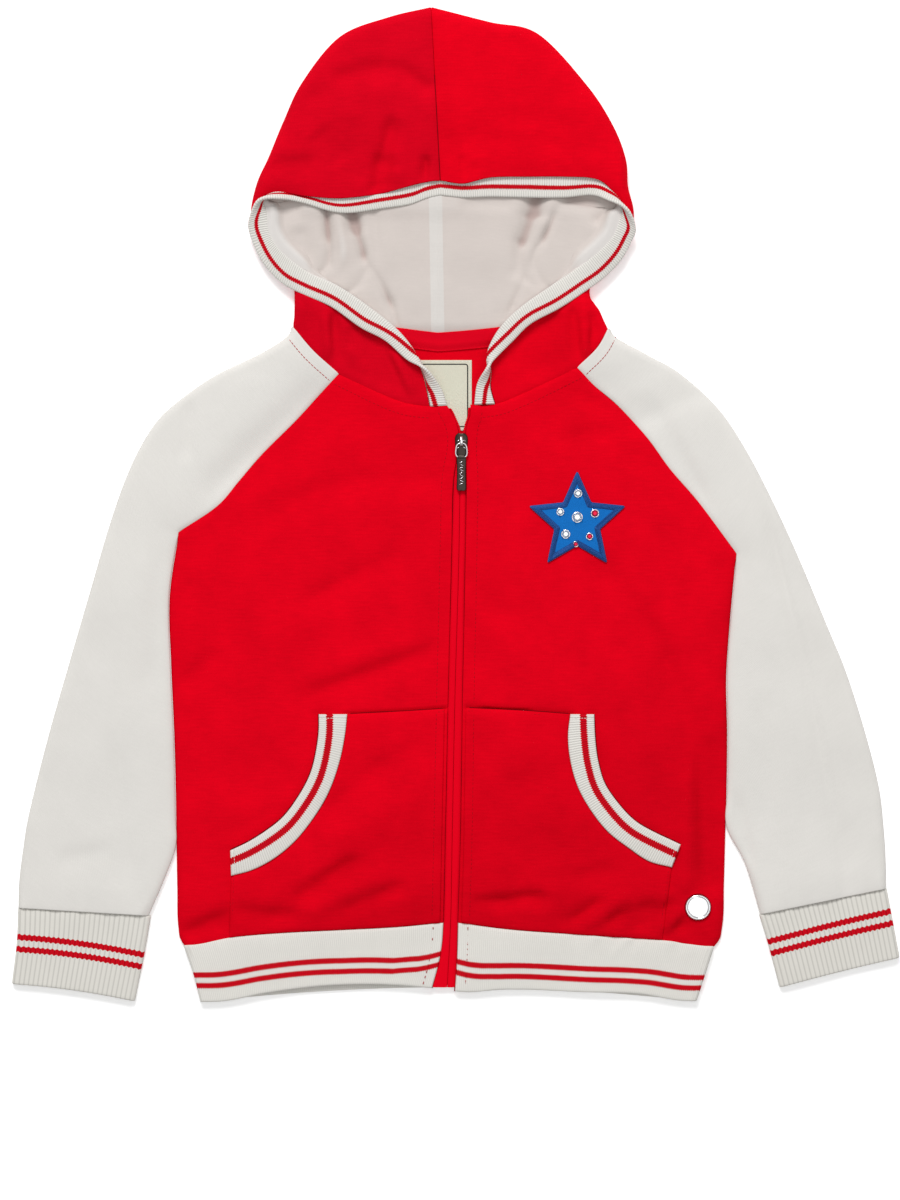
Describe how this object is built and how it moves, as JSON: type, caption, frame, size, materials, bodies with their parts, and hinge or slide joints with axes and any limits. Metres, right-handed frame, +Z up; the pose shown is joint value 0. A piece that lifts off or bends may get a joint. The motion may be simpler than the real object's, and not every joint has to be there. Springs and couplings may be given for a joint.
{
  "type": "hooded knit jacket",
  "caption": "Child's hooded zip-front knit jacket with raglan sleeves, ribbed cuffs and hem and patch pockets, laid flat on its back with the hood spread open.",
  "frame": {"origin": "middle of the laid jacket's bounding box, on the surface it lies on", "axes": "+Y from the hem towards the hood, +X to the viewer's right across the jacket, +Z up out of the surface"},
  "size_m": [0.5782, 0.6477, 0.0192],
  "materials": {
    "red_knit": "brushed knit",
    "white_knit": "brushed knit",
    "white_rib": "ribbed knit with red stripes",
    "red_tape": "woven tape",
    "label_weave": "woven satin",
    "dark_metal": "dark nickel plate",
    "polished_metal": "mirror polish",
    "blue_felt": "felt",
    "cut_stone": "faceted, clear"
  },
  "bodies": {
    "jacket": {"back_panel": "red_knit", "front_left": "red_knit", "front_right": "red_knit", "sleeve_left": "white_knit", "sleeve_right": "white_knit", "cuff_left": "white_rib", "cuff_right": "white_rib", "hem_band": "white_rib", "hood_outer_left": "red_knit", "hood_outer_right": "red_knit", "hood_lining_left": "white_knit", "hood_lining_right": "white_knit", "hood_trim": "white_rib", "neck_tape": "red_tape", "label": "label_weave", "pocket_left": "red_knit", "pocket_right": "red_knit", "pocket_trim_left": "white_rib", "pocket_trim_right": "white_rib", "zip_tape_left": "red_tape", "zip_tape_right": "red_tape", "zip_slider": "dark_metal", "badge_disc": "polished_metal", "star_patch": "blue_felt", "stone_1": "cut_stone", "stone_2": "cut_stone", "stone_3": "cut_stone", "stone_4": "cut_stone", "stone_5": "cut_stone", "stone_6": "cut_stone", "stone_7": "cut_stone"},
    "pull": {"zip_pull": "dark_metal"}
  },
  "joints": [
    {"name": "pull_hinge", "type": "hinge", "parent": "jacket", "child": "pull", "pos_m": [0.0037, 0.04, 0.00875], "axis": [-1, 0, 0], "range_deg": [0, 150]}
  ]
}
